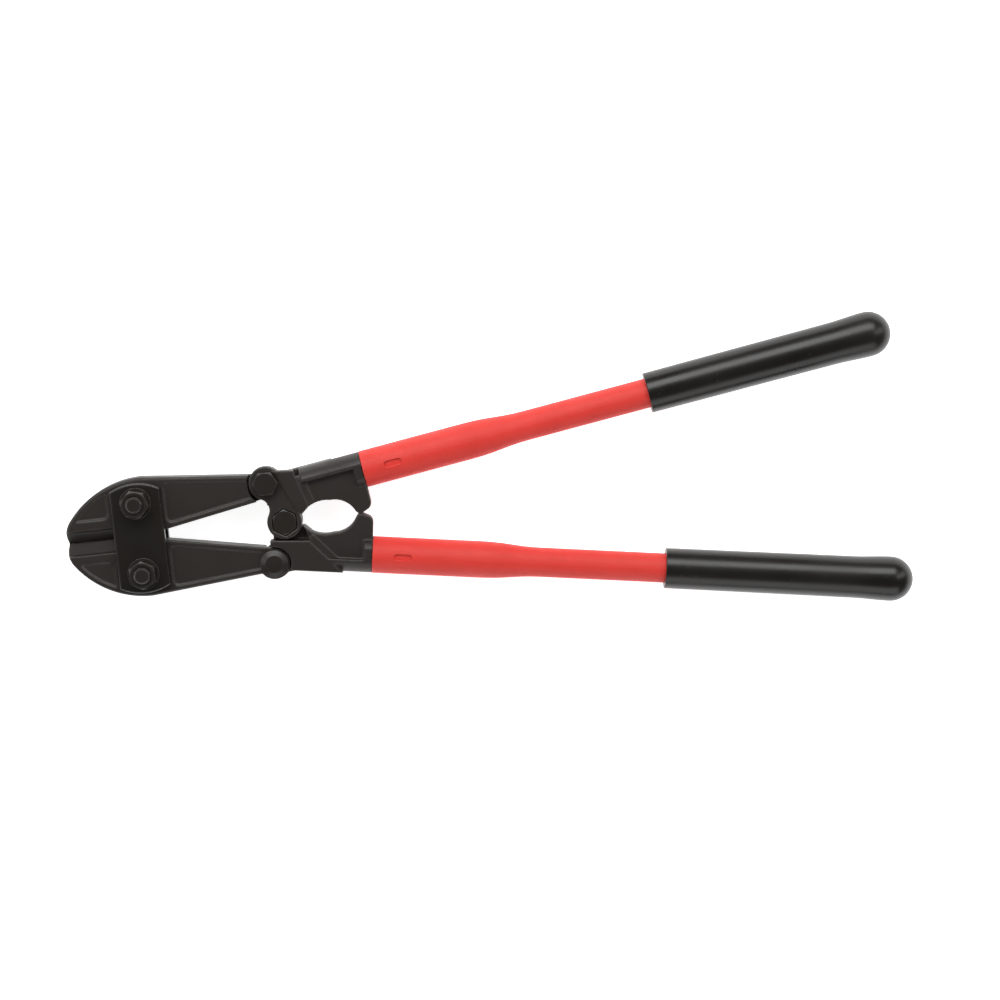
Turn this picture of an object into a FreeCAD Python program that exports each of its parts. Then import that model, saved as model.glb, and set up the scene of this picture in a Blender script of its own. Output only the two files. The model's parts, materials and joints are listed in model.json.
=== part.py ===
"""Bolt cutters, closed: two forged jaws, two straps, two forged handle heads, tubes and grips.

Millimetres, +Z up. The tool lies flat: +X runs along the tool from the jaws to the grips, and the
upper half of the tool is on +Y. Pieces are drawn about the centre pivot with z = 0 in the middle
plane of the forgings. The whole tool is then moved so that the origin is at the middle of the
bottom of its box. Both halves come from the same forgings: a lower piece is an upper piece turned
half a turn about X, which puts its lug, eye and bolt head on the other face.
"""
import FreeCAD, Part
import math
import os

import Sketcher

DRIVING_SIZES = [
    # Linkage, measured from the centre pivot.
    ("link_x", 8.4, "handle link pivot, distance towards the jaws"),
    ("link_y", 23.2, "handle link pivot, distance off the tool axis"),
    ("jaw_pivot_x", 82.5, "jaw pivot, distance towards the jaws"),
    ("jaw_pivot_y", 20.2, "jaw pivot, distance off the tool axis"),
    # Jaws.
    ("jaw_thickness", 15.0, "forging thickness"),
    ("nose_reach", 41.6, "jaw pivot to the mouth of the cutting edge"),
    ("nose_height", 12.2, "height of the blunt nose"),
    ("nose_radius", 14.0, "bulge of the blunt nose"),
    ("jaw_back", 34.2, "tool axis to the highest point of the jaw's back"),
    ("jaw_back_radius", 53.0, "curve of the jaw's back"),
    ("jaw_back_end", 3.0, "jaw pivot to the end of that curve"),
    ("jaw_roll_end", 8.0, "jaw pivot to the end of the rolling flank"),
    ("edge_gap", 0.1, "each cutting edge to the tool axis when closed"),
    ("edge_land", 0.9, "width of the flat on the cutting edge"),
    ("bevel_width", 6.8, "ground bevel, seen from above"),
    ("bevel_rise", 5.6, "ground bevel, measured through the thickness"),
    ("bevel_end", 12.5, "jaw pivot to the end of the bevel, under the strap"),
    ("eye_radius", 9.0, "round eye at the end of the jaw's tail"),
    ("tail_drop", 4.6, "link pivot to the tail's outer edge"),
    ("panel_depth", 0.9, "depth of the forged panels in jaw and tail"),
    ("panel_rim", 3.0, "rim left around a panel"),
    ("panel_floor", 12.4, "tool axis to the lower edge of the nose panel"),
    ("panel_start", 15.8, "jaw pivot to the near end of the tail panel"),
    ("panel_end", 5.5, "link pivot to the far end of the tail panel"),
    ("panel_corner", 3.2, "rounded corners of the forged panels"),
    ("panel_margin", 2.6, "strap to the near end of the nose panel"),
    ("forging_round", 1.6, "rounded outer edges of the jaw"),
    # Straps and jaw bolts.
    ("strap_width", 28.8, "along the tool"),
    ("strap_length", 63.0, "across the tool"),
    ("strap_end_radius", 29.0, "curve of the strap's ends"),
    ("strap_thickness", 6.0, "plate thickness"),
    ("strap_chamfer", 0.6, "broken edges of the strap"),
    ("slide_gap", 0.15, "between two faces that slide on each other"),
    ("running_gap", 0.05, "radial gap of a running fit"),
    ("jaw_bolt_radius", 4.7, "jaw bolt shank"),
    ("bush_wall", 2.05, "wall of the jaw bush"),
    ("jaw_bolt_stub", 2.4, "end of the bolt that stands out of its nut"),
    ("bolt_chamfer", 0.9, "end of the jaw bolt"),
    ("nut_chamfer", 0.5, "mouth of the jaw nut"),
    ("hexagon_corner", 0.2, "flats to the turned cone on a hexagon's face"),
    ("jaw_nut_flats", 14.3, "across flats of jaw nut and jaw bolt head"),
    ("jaw_nut_height", 8.0, "nut height"),
    ("nut_turn", 17.0, "upper jaw nut as it was tightened, degrees"),
    ("jaw_head_height", 5.6, "bolt head height"),
    ("washer_radius", 9.0, "outside of the jaw washer"),
    ("washer_thickness", 1.6, "jaw washer"),
    # Handle heads.
    ("head_thickness", 19.2, "thickness of the block at the pivots"),
    ("lug_step", 0.8, "lug plate below the face of the block"),
    ("web_thickness", 11.0, "thickness of web and stop"),
    ("ear_radius", 9.6, "round ear about the link pivot"),
    ("boss_radius", 9.9, "round boss about the centre pivot"),
    ("waist_radius", 6.5, "hollow between ear and boss"),
    ("recess_gap", 0.6, "between a forging and what turns in its recess"),
    ("handle_angle", 8.9, "handle axis to the tool axis, degrees"),
    ("mouth_x", 47.8, "centre pivot to the middle of the tube's mouth"),
    ("mouth_y", 24.75, "tool axis to the middle of the tube's mouth"),
    ("collar_length", 5.2, "full round collar next to the tube"),
    ("barrel_step", 0.2, "barrel below the tube's outside"),
    ("barrel_start", 12.0, "centre pivot to the start of the barrel"),
    ("front_web_top", 2.6, "handle axis to the top of the web on the lug's face"),
    ("rear_web_top", 2.6, "handle axis to the top of the web on the other face"),
    ("window_start", 3.6, "tool axis to the window's edge beside the boss"),
    ("window_height", 9.5, "tool axis to the top of the window between the heads"),
    ("window_middle", 27.0, "centre pivot to the top of the window"),
    ("window_rise", 17.4, "curve of the window from the boss to its top"),
    ("window_fall", 14.0, "curve of the window from its top to the stop"),
    ("block_slope", 4.1, "width of the block's slope down to the web"),
    ("front_block_top", 9.0, "start of the barrel's top on the lug's face, from the pivot"),
    ("rear_block_top", 31.5, "the same on the other face"),
    ("recess_tilt", 6.0, "recess edge of the rear block to the tool axis, degrees"),
    ("recess_run", 13.6, "length of that edge past the boss"),
    ("stop_x", 43.5, "centre pivot to the contact of the stops"),
    ("stop_gap", 0.1, "each stop to the tool axis when closed"),
    ("stop_land", 2.0, "width of the flat where the stops meet"),
    ("stop_bevel", 1.5, "bevel beside that flat, towards the window"),
    ("stop_corner", 4.2, "rounded outer corner of the stop"),
    ("stop_outer", 50.2, "centre pivot to the outer side of the stop"),
    ("stop_shoulder", 6.4, "tool axis to the end of the rounded corner"),
    # Centre bolt and link bolts.
    ("centre_bolt_radius", 4.75, "centre bolt shank"),
    ("centre_flats", 13.0, "across flats of the centre bolt head"),
    ("pocket_gap", 0.5, "between the centre bolt head and its pocket"),
    ("pocket_depth", 4.4, "depth of the pockets for head and nut"),
    ("centre_nut_radius", 7.4, "round nut on the centre bolt"),
    ("centre_nut_step", 0.2, "nut inside its washer's edge"),
    ("centre_washer_thickness", 1.0, "washer under that nut"),
    ("head_sink", 0.1, "centre bolt head below the lug's face"),
    ("end_sink", 0.2, "end of the centre bolt below the other lug's face"),
    ("pin_chamfer", 0.6, "end of the centre bolt"),
    ("link_bolt_radius", 4.5, "shoulder of the link bolt"),
    ("link_flats", 12.7, "across flats of the link bolt head"),
    ("link_head_height", 4.6, "link bolt head height"),
    ("link_stub_radius", 3.2, "end of the link bolt inside its cap"),
    ("link_stub", 2.0, "length of that end"),
    ("link_cap_radius", 7.9, "round cap on the link bolt"),
    ("link_cap_height", 3.6, "cap height"),
    ("link_cap_dome", 1.4, "fall of the cap's face to its rim"),
    ("link_cap_flat", 4.9, "radius at which the cap's face starts to fall"),
    ("link_cap_crown", 0.25, "fall of the cap's face up to there"),
    ("blind_gap", 0.2, "end of the link bolt to the bottom of its cap"),
    ("open_link_play", 1.7, "play of the upper jaw's slotted eye on its link bolt"),
    ("slot_gap", 0.3, "between the link bolt and the sides of that slot"),
    # Tubes and grips.
    ("tube_radius", 10.6, "tube at its mouth"),
    ("tube_wall", 2.0, "tube wall"),
    ("tube_neck_radius", 8.5, "tube beyond the taper"),
    ("taper_start", 62.0, "mouth to the start of the taper"),
    ("taper_end", 97.0, "mouth to the end of the taper"),
    ("shank_length", 46.0, "head's shank inside the tube"),
    ("dimple_x", 17.5, "mouth to the middle of the crimp dimple"),
    ("dimple_length", 10.5, "crimp dimple"),
    ("dimple_width", 3.7, "crimp dimple"),
    ("dimple_depth", 1.1, "crimp dimple"),
    ("grip_start", 168.6, "mouth of the tube to the open end of the grip"),
    ("grip_end", 312.5, "mouth of the tube to the closed end of the grip"),
    ("grip_radius", 11.7, "grip at its open end"),
    ("grip_swell_radius", 12.1, "grip before its bulb"),
    ("bulb_radius", 12.95, "bulb at the closed end"),
    ("bulb_flare", 16.0, "length over which the grip grows into its bulb"),
    ("grip_lip", 0.8, "rolled lip at the grip's open end, off its radius"),
    ("grip_lip_length", 1.2, "length of that lip"),
    ("tube_end_gap", 0.3, "end of the tube to the inside of the bulb"),
    ("grip_plug", 16.2, "solid end of the grip beyond the tube"),
]

HEX_SIDES = 6
CONE_SLOPE = 0.35
# Cuts run this far past a piece where only their near side matters.
FAR = 60.0
OVERRUN = 1.0
# How near two points or planes are to count as the same.
SAME = 0.02


class Size:
    """A length that keeps both its number and the sheet expression that it comes from."""

    def __init__(self, value, text):
        self.value = float(value)
        self.text = text

    def __add__(self, other):
        other = as_size(other)
        return Size(self.value + other.value, "(%s + %s)" % (self.text, other.text))

    def __sub__(self, other):
        other = as_size(other)
        return Size(self.value - other.value, "(%s - %s)" % (self.text, other.text))

    def __mul__(self, other):
        other = as_size(other)
        return Size(self.value * other.value, "(%s * %s)" % (self.text, other.text))

    def __truediv__(self, other):
        other = as_size(other)
        return Size(self.value / other.value, "(%s / %s)" % (self.text, other.text))

    def __neg__(self):
        return Size(-self.value, "(0 - %s)" % self.text)

    __radd__ = __add__
    __rmul__ = __mul__

    def __rsub__(self, other):
        return as_size(other) - self


def as_size(number):
    """Wrap a plain number so that it can stand beside named sizes."""
    return number if isinstance(number, Size) else Size(number, "(%.6f)" % number)


def root(size):
    return Size(math.sqrt(size.value), "sqrt(%s)" % size.text)


def sine(angle):
    return Size(math.sin(math.radians(angle.value)), "sin(%s * 1 deg)" % angle.text)


def cosine(angle):
    return Size(math.cos(math.radians(angle.value)), "cos(%s * 1 deg)" % angle.text)


class SizeSheet:
    """A spreadsheet whose cells are read as attributes that carry their own expression."""

    def __init__(self, document, name):
        self._sheet = document.addObject("Spreadsheet::Sheet", name)
        self._row = 0
        self._sizes = {}

    def add(self, alias, value, cell_text, note):
        self._row += 1
        self._sheet.set("A%d" % self._row, alias)
        self._sheet.set("B%d" % self._row, cell_text)
        self._sheet.setAlias("B%d" % self._row, alias)
        self._sheet.set("C%d" % self._row, note)
        self._sizes[alias] = Size(value, "%s.%s" % (self._sheet.Name, alias))
        return self._sizes[alias]

    def __getattr__(self, alias):
        if alias.startswith("_"):
            raise AttributeError(alias)
        return self._sizes[alias]


doc = FreeCAD.newDocument("bolt_cutters")
S = SizeSheet(doc, "Sizes")
for size_alias, size_value, size_note in DRIVING_SIZES:
    S.add(size_alias, size_value, "%g" % size_value, size_note)

derived = SizeSheet(doc, "Derived")


def derive(alias, size, note):
    """Keep a worked-out size in a sheet of its own, as a formula over the driving sizes."""
    return derived.add(alias, size.value, "=" + size.text, note)


# ---------------------------------------------------------------------------- worked-out sizes

jaw_half = derive("jaw_half", S.jaw_thickness / 2, "middle plane to the jaw's face")
strap_inner = derive("strap_inner", jaw_half + S.slide_gap, "middle plane to the strap")
strap_outer = derive("strap_outer", strap_inner + S.strap_thickness, "to its outer face")
nut_seat = derive("nut_seat", strap_outer + S.washer_thickness, "to the face under the nut")
nut_top = derive("nut_top", nut_seat + S.jaw_nut_height, "to the top of the nut")
bolt_top = derive("bolt_top", nut_top + S.jaw_bolt_stub, "to the end of the jaw bolt")
rear_rest = derive("rear_rest", strap_outer + S.jaw_head_height, "to the rear bolt heads")

head_half = derive("head_half", S.head_thickness / 2, "middle plane to the block's face")
lug_face = derive("lug_face", head_half - S.lug_step, "middle plane to the lug's face")
web_half = derive("web_half", S.web_thickness / 2, "middle plane to the web's face")
pocket_floor = derive("pocket_floor", lug_face - S.pocket_depth, "to the pocket's floor")
bush_radius = derive(
    "bush_radius", S.jaw_bolt_radius + S.running_gap + S.bush_wall, "outside of the jaw bush")
recess_radius = derive("recess_radius", S.boss_radius + S.recess_gap, "recess for the boss")
tail_face = derive("tail_face", jaw_half - S.slide_gap, "to the outer face of the tail's eye")

arm = derive("arm", root(S.link_x * S.link_x + S.link_y * S.link_y), "centre to link pivot")
# Unit vector from the centre pivot to the upper link pivot, and its left-hand normal.
arm_x = derive("arm_x", -S.link_x / arm, "direction of the arm")
arm_y = derive("arm_y", S.link_y / arm, "direction of the arm")

# The hollow between ear and boss is a circle outside both: where it touches each of them.
ear_reach = S.ear_radius + S.waist_radius
boss_reach = S.boss_radius + S.waist_radius
waist_along = derive(
    "waist_along", (arm * arm + boss_reach * boss_reach - ear_reach * ear_reach) / (2 * arm),
    "hollow's centre along the arm")
waist_off = derive(
    "waist_off", root(boss_reach * boss_reach - waist_along * waist_along),
    "hollow's centre beside the arm")
waist_x = derive("waist_x", waist_along * arm_x - waist_off * arm_y, "hollow's centre")
waist_y = derive("waist_y", waist_along * arm_y + waist_off * arm_x, "hollow's centre")

handle_cos = derive("handle_cos", cosine(S.handle_angle), "handle direction")
handle_sin = derive("handle_sin", sine(S.handle_angle), "handle direction")

back_centre_y = derive("back_centre_y", S.jaw_back - S.jaw_back_radius, "centre of jaw's back")
nose_drop = S.nose_height - back_centre_y
nose_top_x = derive(
    "nose_top_x",
    S.jaw_back_end - root(S.jaw_back_radius * S.jaw_back_radius - nose_drop * nose_drop),
    "jaw pivot to the top of the blunt nose")
roll_radius = derive("roll_radius", S.jaw_pivot_y - S.edge_gap, "rolling flank about the pivot")
roll_end_y = derive(
    "roll_end_y",
    S.jaw_pivot_y - root(roll_radius * roll_radius - S.jaw_roll_end * S.jaw_roll_end),
    "tool axis to the end of the rolling flank")

tube_length = derive(
    "tube_length", S.grip_end - S.grip_plug - S.tube_end_gap, "mouth to the end of the tube")
bulb_centre = derive("bulb_centre", S.grip_end - S.bulb_radius, "mouth to the bulb's centre")
grip_tip_x = derive(
    "grip_tip_x", S.mouth_x + bulb_centre * handle_cos + S.bulb_radius, "end of the tool")
nose_tip = derive(
    "nose_tip",
    S.nose_radius - root(S.nose_radius * S.nose_radius - S.nose_height * S.nose_height / 4),
    "bulge of the blunt nose")
nose_lean = derive("nose_lean", (S.nose_reach + nose_top_x) / 2, "nose's chord off upright")
nose_tip_x = derive(
    "nose_tip_x", -S.jaw_pivot_x - S.nose_reach + nose_lean - nose_tip, "other end of the tool")
origin_x = derive("origin_x", (grip_tip_x + nose_tip_x) / 2, "origin from the centre pivot")

doc.recompute()

# ------------------------------------------------------------------------------------- helpers


def bind(item, path, size):
    """Bind one property or constraint to the sheet."""
    item.setExpression(path, as_size(size).text)


def origin_plane(body, role):
    return next(f for f in body.Origin.OriginFeatures if f.Role == role)


def new_body(label):
    body = doc.addObject("PartDesign::Body", label)
    body.Label = label
    return body


def new_sketch(body, label, role, height=None):
    """Attach a sketch to one of the body's own origin planes, lifted by height."""
    sketch = body.newObject("Sketcher::SketchObject", body.Label + "_" + label)
    sketch.AttachmentSupport = [(origin_plane(body, role), "")]
    sketch.MapMode = "FlatFace"
    if height is not None:
        sketch.AttachmentOffset = FreeCAD.Placement(
            FreeCAD.Vector(0, 0, height.value), FreeCAD.Rotation())
        bind(sketch, "AttachmentOffset.Base.z", height)
    return sketch


def fix_point(sketch, geometry, end, x, y):
    """Hold one sketch point at (x, y), both bound to the sheet."""
    for axis, size in (("X", as_size(x)), ("Y", as_size(y))):
        index = sketch.addConstraint(
            Sketcher.Constraint("Distance" + axis, -1, 1, geometry, end, size.value))
        name = "p%d_%d_%s" % (geometry, end, axis.lower())
        sketch.renameConstraint(index, name)
        bind(sketch, "Constraints." + name, size)


def draw_circle(sketch, x, y, radius):
    """A full circle with its centre and radius bound."""
    x, y, radius = as_size(x), as_size(y), as_size(radius)
    index = sketch.addGeometry(
        Part.Circle(FreeCAD.Vector(x.value, y.value, 0), FreeCAD.Vector(0, 0, 1), radius.value))
    fix_point(sketch, index, 3, x, y)
    constraint = sketch.addConstraint(Sketcher.Constraint("Radius", index, radius.value))
    sketch.renameConstraint(constraint, "r%d" % index)
    bind(sketch, "Constraints.r%d" % index, radius)


def arc_between(start, end, radius):
    """Arc from start to end: radius > 0 turns left, radius < 0 turns right."""
    chord = end - start
    middle = (start + end) * 0.5
    left = FreeCAD.Vector(-chord.y, chord.x, 0).normalize()
    offset = math.sqrt(max(radius * radius - chord.Length ** 2 / 4, 0))
    centre = middle + left * math.copysign(offset, radius)
    first, last = (start, end) if radius > 0 else (end, start)
    angles = [math.atan2(p.y - centre.y, p.x - centre.x) for p in (first, last)]
    circle = Part.Circle(centre, FreeCAD.Vector(0, 0, 1), abs(radius))
    return Part.ArcOfCircle(circle, angles[0], angles[1])


def draw_outline(sketch, corners):
    """A closed outline. A corner is (x, y) or (x, y, radius of the arc to the next corner)."""
    points = [FreeCAD.Vector(as_size(c[0]).value, as_size(c[1]).value, 0) for c in corners]
    ends = []
    for index, corner in enumerate(corners):
        start, end = points[index], points[(index + 1) % len(points)]
        if len(corner) == 2:
            geometry = sketch.addGeometry(Part.LineSegment(start, end))
            ends.append((geometry, 1, 2))
            continue
        radius = as_size(corner[2])
        geometry = sketch.addGeometry(arc_between(start, end, radius.value))
        ends.append((geometry, 1, 2) if radius.value > 0 else (geometry, 2, 1))
        unsigned = radius if radius.value > 0 else -radius
        constraint = sketch.addConstraint(
            Sketcher.Constraint("Radius", geometry, unsigned.value))
        sketch.renameConstraint(constraint, "r%d" % geometry)
        bind(sketch, "Constraints.r%d" % geometry, unsigned)
    for index, (geometry, _, last) in enumerate(ends):
        following, first, _ = ends[(index + 1) % len(ends)]
        sketch.addConstraint(Sketcher.Constraint("Coincident", geometry, last, following, first))
    for corner, (geometry, first, _) in zip(corners, ends):
        fix_point(sketch, geometry, first, corner[0], corner[1])


def draw_slot(sketch, x, y, half_x, half_y, radius):
    """A slot with round ends about (x, y), straight for half_x or half_y each way."""
    x, y, half_x, half_y = as_size(x), as_size(y), as_size(half_x), as_size(half_y)
    if half_x.value > 0:
        draw_outline(sketch, [
            (x - half_x, y - radius),
            (x + half_x, y - radius, radius),
            (x + half_x + radius, y, radius),
            (x + half_x, y + radius),
            (x - half_x, y + radius, radius),
            (x - half_x - radius, y, radius),
        ])
    else:
        draw_outline(sketch, [
            (x + radius, y - half_y),
            (x + radius, y + half_y, radius),
            (x, y + half_y + radius, radius),
            (x - radius, y + half_y),
            (x - radius, y - half_y, radius),
            (x, y - half_y - radius, radius),
        ])


def hexagon(flats, turned=False):
    """Corners of a hexagon about the origin: flats on +Y and -Y, or corners there if turned."""
    reach = flats / math.sqrt(3)
    start = 30.0 if turned else 0.0
    angles = [math.radians(start + 360.0 / HEX_SIDES * side) for side in range(HEX_SIDES)]
    return [(reach * math.cos(angle), reach * math.sin(angle)) for angle in angles]


def pad(body, sketch, length, midplane=False, downwards=False):
    feature = body.newObject("PartDesign::Pad", sketch.Label + "_pad")
    feature.Profile = sketch
    feature.Midplane = midplane
    feature.Reversed = downwards
    bind(feature, "Length", length)
    doc.recompute()
    return feature


def cut(body, feature, volume_before):
    """Refuse a cut that removed nothing: it would point away from the solid."""
    doc.recompute()
    if body.Shape.Volume > volume_before - 0.01:
        raise RuntimeError("%s cuts nothing" % feature.Label)
    return feature


def pocket(body, sketch, length, upwards=False, both_ways=False):
    """Cut a sketch down into the body, or up if asked, or both ways through all of it."""
    volume = body.Shape.Volume
    feature = body.newObject("PartDesign::Pocket", sketch.Label + "_pocket")
    feature.Profile = sketch
    feature.Midplane = both_ways
    feature.Reversed = upwards
    bind(feature, "Length", length)
    return cut(body, feature, volume)


def revolve(body, sketch, axis_name, removing=False):
    """Turn a sketch about its own horizontal or vertical axis."""
    volume = body.Shape.Volume if removing else 0.0
    kind = "PartDesign::Groove" if removing else "PartDesign::Revolution"
    feature = body.newObject(kind, sketch.Label + "_turn")
    feature.Profile = sketch
    feature.ReferenceAxis = (sketch, [axis_name])
    feature.Angle = 360.0
    if removing:
        return cut(body, feature, volume)
    doc.recompute()
    return feature


def edge_names(shape, wanted):
    """Names of the edges that the given test accepts."""
    return ["Edge%d" % (i + 1) for i, edge in enumerate(shape.Edges) if wanted(edge)]


def middle_of(edge):
    first, last = edge.ParameterRange
    return edge.valueAt((first + last) / 2)


def dress(body, kind, label, size, wanted):
    """Fillet or chamfer the edges of the body's tip that a test accepts."""
    base = body.Tip
    names = edge_names(base.Shape, wanted)
    if not names:
        raise RuntimeError("%s_%s finds no edge" % (body.Label, label))
    feature = body.newObject("PartDesign::" + kind, body.Label + "_" + label)
    feature.Base = (base, names)
    bind(feature, "Radius" if kind == "Fillet" else "Size", size)
    doc.recompute()
    return feature


def is_upright(edge):
    return len(edge.Vertexes) == 2 and abs(
        edge.Vertexes[0].Point.z - edge.Vertexes[1].Point.z) > 0.9 * edge.Length


def stands_at(x, y):
    """A test for the upright edges over the point (x, y)."""
    def wanted(edge):
        if not is_upright(edge):
            return False
        point = edge.Vertexes[0].Point
        return abs(point.x - as_size(x).value) < SAME and abs(point.y - as_size(y).value) < SAME
    return wanted


def lies_at(height):
    """A test for the edges that lie flat at the given height."""
    return lambda edge: max(abs(edge.BoundBox.ZMin - height.value),
                            abs(edge.BoundBox.ZMax - height.value)) < SAME


def place(item, x, y, z=0.0, axis=None, angle=0.0):
    """Put a piece, drawn about the centre pivot, into the tool's frame."""
    turn = FreeCAD.Rotation(axis or FreeCAD.Vector(0, 0, 1), as_size(angle).value)
    item.Placement = FreeCAD.Placement(FreeCAD.Vector(0, 0, 0), turn)
    bind(item, "Placement.Base.x", as_size(x) - origin_x)
    bind(item, "Placement.Base.y", as_size(y))
    bind(item, "Placement.Base.z", as_size(z) + rear_rest)


def place_half(item, upper, x=0.0, y=0.0):
    """Put an upper piece in place, or turn it half a turn about X for the lower half."""
    if upper:
        place(item, x, y)
    else:
        place(item, x, -as_size(y), axis=FreeCAD.Vector(1, 0, 0), angle=180.0)


# ---------------------------------------------------------------------------------------- jaws


def jaw_x(offset):
    """Distance from the jaw pivot, measured along the tool."""
    return as_size(offset) - S.jaw_pivot_x


def tail_line(start, end, x):
    """Height of the straight line from start to end at x."""
    return start[1] + (end[1] - start[1]) * (x - start[0]) / (end[0] - start[0])


def build_jaw(label, upper, play):
    """One forged jaw: nose, cutting edge, back, and a tail that ends in a half-thickness eye.

    Its eye fits the link bolt, or is a slot that leaves the bolt the given play across the tool.
    """
    body = new_body(label)
    inner_start = (jaw_x(S.jaw_roll_end), roll_end_y)
    inner_end = (-S.link_x, S.link_y - S.eye_radius)
    outer_end = (-S.link_x, S.link_y + S.tail_drop)
    outer_start = (jaw_x(S.jaw_back_end), S.jaw_back)
    blank = new_sketch(body, "blank", "XY_Plane")
    draw_outline(blank, [
        (jaw_x(-S.nose_reach), S.edge_gap),
        (jaw_x(0.0), S.edge_gap, roll_radius),
        inner_start,
        inner_end,
        outer_end,
        (outer_start[0], outer_start[1], S.jaw_back_radius),
        (jaw_x(nose_top_x), S.nose_height, S.nose_radius),
    ])
    pad(body, blank, S.jaw_thickness, midplane=True)
    eye = new_sketch(body, "eye", "XY_Plane")
    draw_circle(eye, -S.link_x, S.link_y, S.eye_radius)
    pad(body, eye, S.jaw_thickness, midplane=True)

    def on_back(edge):
        """The face edges along the jaw's back, nose and tail, away from the cutting edge."""
        point = middle_of(edge)
        on_face = abs(abs(point.z) - jaw_half.value) < SAME
        before_eye = point.x < -(S.link_x + S.eye_radius).value
        return on_face and point.y > S.jaw_pivot_y.value and before_eye
    dress(body, "Fillet", "round_back", S.forging_round, on_back)

    for side in (1, -1):
        face = jaw_half * side
        nose_panel = new_sketch(body, "nose_panel%d" % (side > 0), "XY_Plane", face)
        panel_right = jaw_x(-S.strap_width / 2 - S.panel_margin)
        panel_radius = S.jaw_back_radius - S.panel_rim
        right_run = panel_right - jaw_x(S.jaw_back_end)
        floor_rise = S.panel_floor - back_centre_y
        draw_outline(nose_panel, [
            (jaw_x(S.jaw_back_end) - root(panel_radius * panel_radius - floor_rise * floor_rise),
             S.panel_floor),
            (panel_right, S.panel_floor),
            (panel_right, back_centre_y + root(panel_radius * panel_radius - right_run * right_run),
             panel_radius),
        ])
        pocket(body, nose_panel, S.panel_depth, upwards=side < 0)
        dress(body, "Fillet", "nose_panel_round%d" % (side > 0), S.panel_corner,
              lambda edge, sign=side: stands_at(panel_right, S.panel_floor)(edge)
              and edge.CenterOfMass.z * sign > 0)
        tail_panel = new_sketch(body, "tail_panel%d" % (side > 0), "XY_Plane", face)
        near, far = jaw_x(S.panel_start), -S.link_x - S.panel_end
        near_corners = [
            (near, tail_line(outer_start, outer_end, near) - S.panel_rim),
            (near, tail_line(inner_start, inner_end, near) + S.panel_rim),
        ]
        far_corners = [
            (far, tail_line(inner_start, inner_end, far) + S.panel_rim),
            (far, tail_line(outer_start, outer_end, far) - S.panel_rim),
        ]
        draw_outline(tail_panel, near_corners + far_corners)
        pocket(body, tail_panel, S.panel_depth, upwards=side < 0)
        dress(body, "Fillet", "tail_panel_round%d" % (side > 0), S.panel_corner,
              lambda edge, sign=side: any(stands_at(*c)(edge) for c in near_corners)
              and edge.CenterOfMass.z * sign > 0)

        bevel = new_sketch(body, "bevel%d" % (side > 0), "YZ_Plane", jaw_x(-S.bevel_end))
        land = S.edge_land / 2
        draw_outline(bevel, [
            (S.edge_gap - OVERRUN, land * side),
            (S.edge_gap, land * side),
            (S.edge_gap + S.bevel_width, (land + S.bevel_rise) * side),
            (S.edge_gap + S.bevel_width, (jaw_half + OVERRUN) * side),
            (S.edge_gap - OVERRUN, (jaw_half + OVERRUN) * side),
        ])
        pocket(body, bevel, as_size(FAR))

    # The eye keeps one half of the thickness, so that it laps with the handle's ear.
    for step in (0, 1, -1) if play is not None else (0,):
        lap = new_sketch(body, "lap%d" % (step + 1), "XY_Plane", -S.slide_gap)
        lap_y = S.link_y + (play * step if step else 0.0)
        draw_circle(lap, -S.link_x, lap_y, S.ear_radius + S.recess_gap)
        pocket(body, lap, S.jaw_thickness, upwards=True)
    skim = new_sketch(body, "skim", "XY_Plane", -tail_face)
    draw_circle(skim, -S.link_x, S.link_y, S.ear_radius)
    pocket(body, skim, S.jaw_thickness)
    bores = new_sketch(body, "bores", "XY_Plane")
    draw_circle(bores, jaw_x(0.0), S.jaw_pivot_y, bush_radius + S.running_gap)
    if play is None:
        draw_circle(bores, -S.link_x, S.link_y, S.link_bolt_radius + S.running_gap)
    else:
        draw_slot(bores, -S.link_x, S.link_y, 0.0, play, S.link_bolt_radius + S.slot_gap)
    pocket(body, bores, S.jaw_thickness * 2, both_ways=True)
    place_half(body, upper)
    return body


# ----------------------------------------------------------------------- straps and jaw bolts


def build_strap(label, front):
    """A flat strap that ties both jaw pivots together, on one face of the jaws."""
    body = new_body(label)
    half_width = S.strap_width / 2
    corner_y = S.strap_length / 2 - S.strap_end_radius + root(
        S.strap_end_radius * S.strap_end_radius - half_width * half_width)
    blank = new_sketch(body, "blank", "XY_Plane", strap_inner)
    draw_outline(blank, [
        (half_width, -corner_y),
        (half_width, corner_y, S.strap_end_radius),
        (-half_width, corner_y),
        (-half_width, -corner_y, S.strap_end_radius),
    ])
    pad(body, blank, S.strap_thickness)
    dress(body, "Chamfer", "edge", S.strap_chamfer, lies_at(strap_outer))
    bores = new_sketch(body, "bores", "XY_Plane", strap_outer)
    for side in (1, -1):
        draw_circle(bores, 0.0, S.jaw_pivot_y * side, S.jaw_bolt_radius + S.running_gap)
    pocket(body, bores, S.strap_thickness * 2)
    if front:
        place(body, -S.jaw_pivot_x, 0.0)
    else:
        place(body, -S.jaw_pivot_x, 0.0, axis=FreeCAD.Vector(1, 0, 0), angle=180.0)
    return body


def ring(label, inner, outer, low, high):
    """A plain ring about Z: a bush or a washer."""
    body = new_body(label)
    section = new_sketch(body, "section", "XZ_Plane")
    draw_outline(section, [(inner, low), (outer, low), (outer, high), (inner, high)])
    revolve(body, section, "V_Axis")
    return body


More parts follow.
